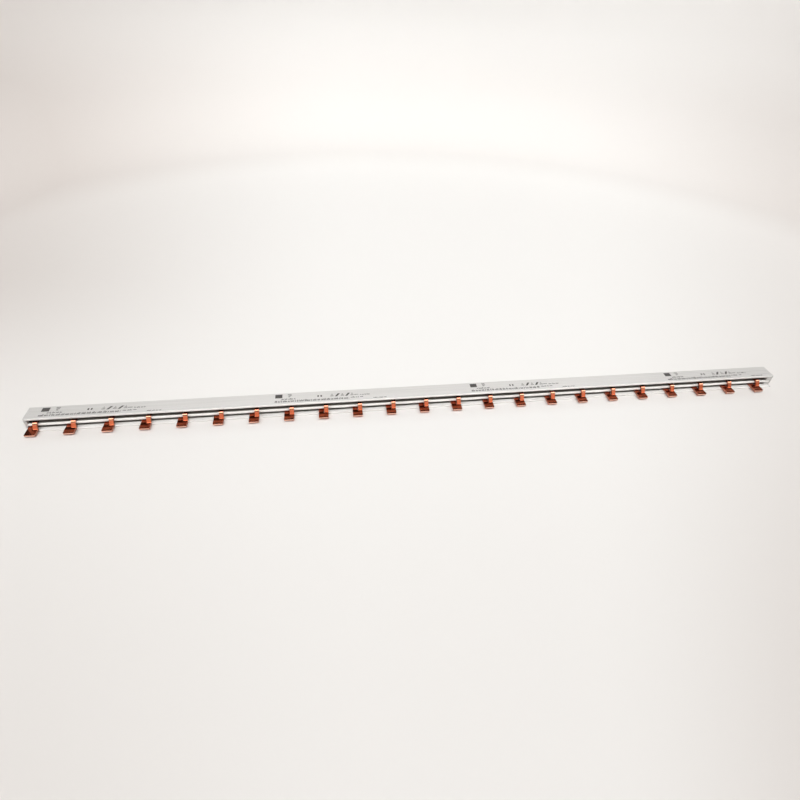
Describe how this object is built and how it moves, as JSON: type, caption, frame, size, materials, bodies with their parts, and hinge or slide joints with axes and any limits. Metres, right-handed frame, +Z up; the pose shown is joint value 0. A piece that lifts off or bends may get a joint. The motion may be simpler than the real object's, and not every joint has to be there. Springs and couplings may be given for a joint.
{
  "type": "comb busbar",
  "caption": "Comb busbar: a folded copper comb with flat tabs, held in an E-shaped insulating profile that two end caps close.",
  "frame": {"origin": "middle of the insulating profile's flat underside", "axes": "+X along the bar, -Y the way the tabs point, +Z up from the underside"},
  "size_m": [1.0146, 0.038, 0.0173],
  "materials": {
    "profile": "matte",
    "copper": "satin",
    "cap": "matte"
  },
  "bodies": {
    "root": {"housing": "profile", "copper_comb": "copper", "end_cap_left": "cap", "end_cap_right": "cap"}
  },
  "joints": []
}
